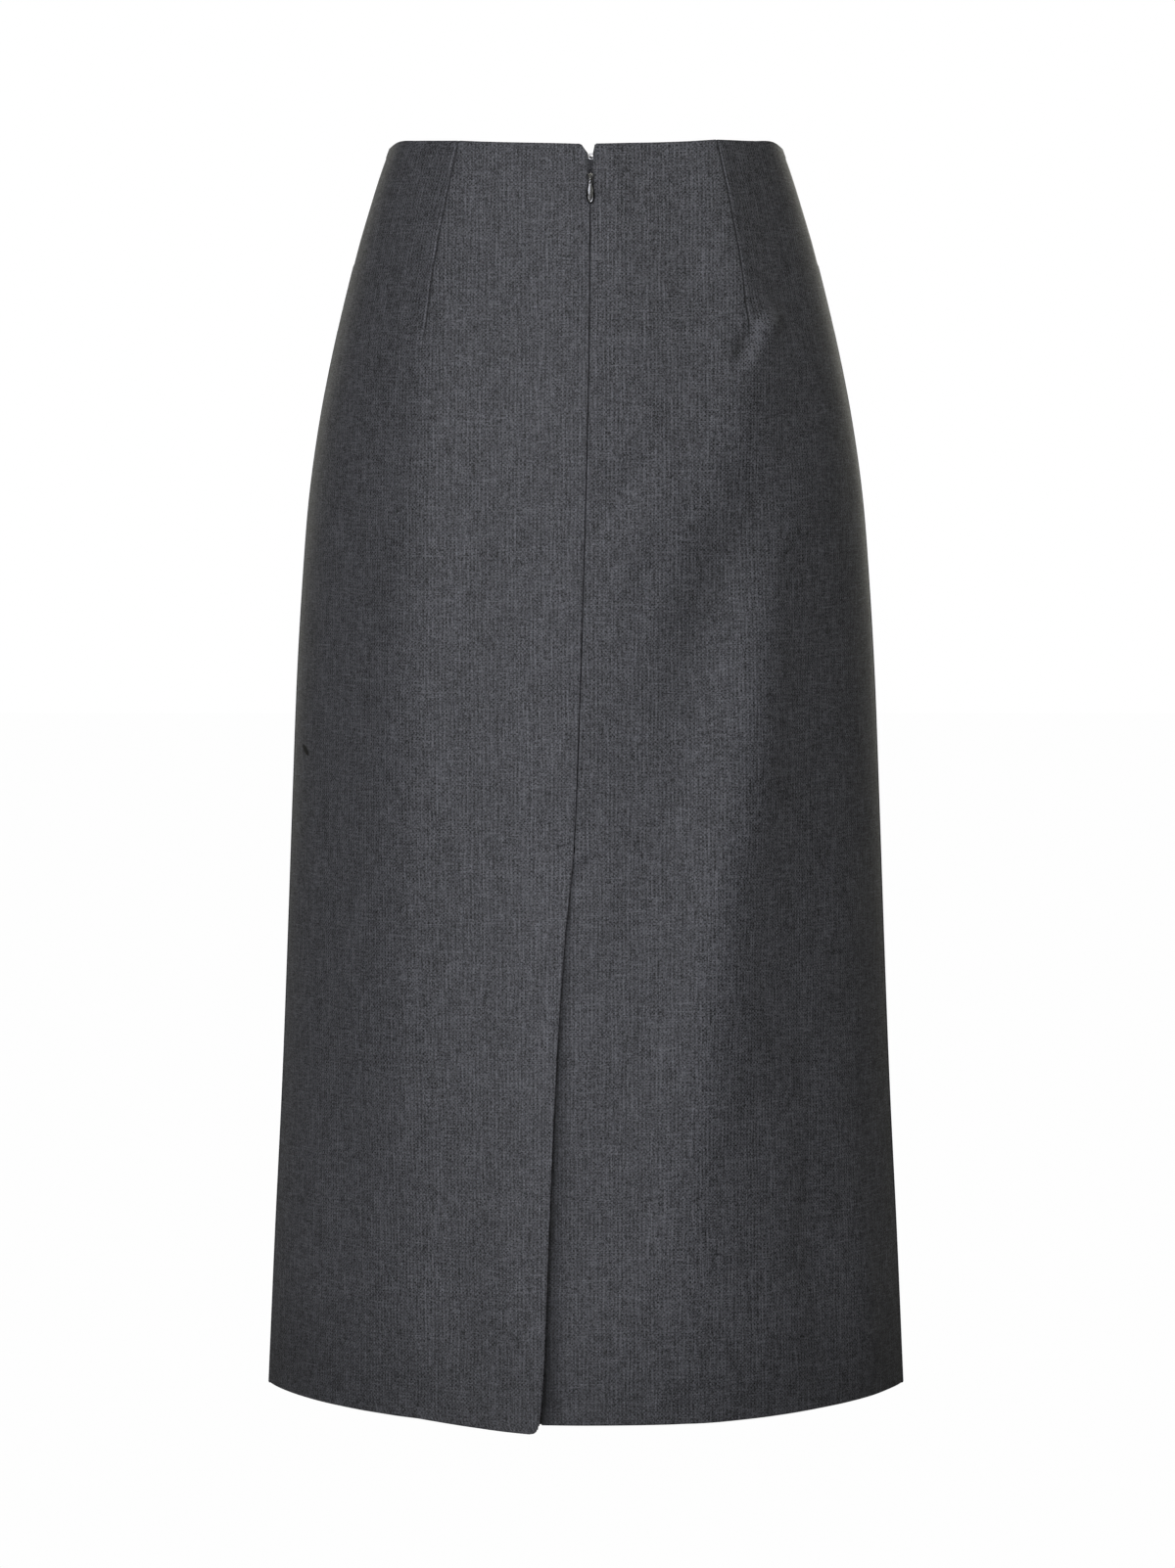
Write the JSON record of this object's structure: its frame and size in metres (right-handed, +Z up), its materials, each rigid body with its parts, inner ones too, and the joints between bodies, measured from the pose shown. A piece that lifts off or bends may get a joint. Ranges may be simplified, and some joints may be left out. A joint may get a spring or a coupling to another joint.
{
  "type": "slit midi skirt",
  "caption": "High-waisted slit midi pencil skirt in charcoal wool suiting, hollow as worn, with waist darts, a concealed back zip with a swinging pull tab, and a lapped back vent.",
  "frame": {"origin": "centre of the waist opening, level with the highest points of the waist's edge", "axes": "+Z up along the skirt towards the waist, -Y the wearer's back with the zip and vent, +X the wearer's right"},
  "size_m": [0.4018, 0.279, 0.7841],
  "materials": {
    "suiting": "matt heathered wool suiting, fine lengthwise streaks, faint sheen",
    "zip_tape": "dark grey woven tape",
    "zip_coil": "dark grey nylon coil",
    "slider_metal": "bright plated zinc",
    "pull_enamel": "glossy dark grey enamel on metal",
    "wire_metal": "bright plated wire"
  },
  "bodies": {
    "skirt": {"front_panel": "suiting", "back_left_panel": "suiting", "back_right_panel": "suiting", "zip_tape_left": "zip_tape", "zip_tape_right": "zip_tape", "zip_chain": "zip_coil", "zip_slider": "slider_metal", "hook": "wire_metal", "eye": "wire_metal"},
    "pull_tab": {"zip_pull": "pull_enamel"}
  },
  "joints": [
    {"name": "pull_swing", "type": "hinge", "parent": "skirt", "child": "pull_tab", "pos_m": [0.00275, -0.099, -0.02503], "axis": [-1, 0, 0], "range_deg": [0, 140]}
  ]
}
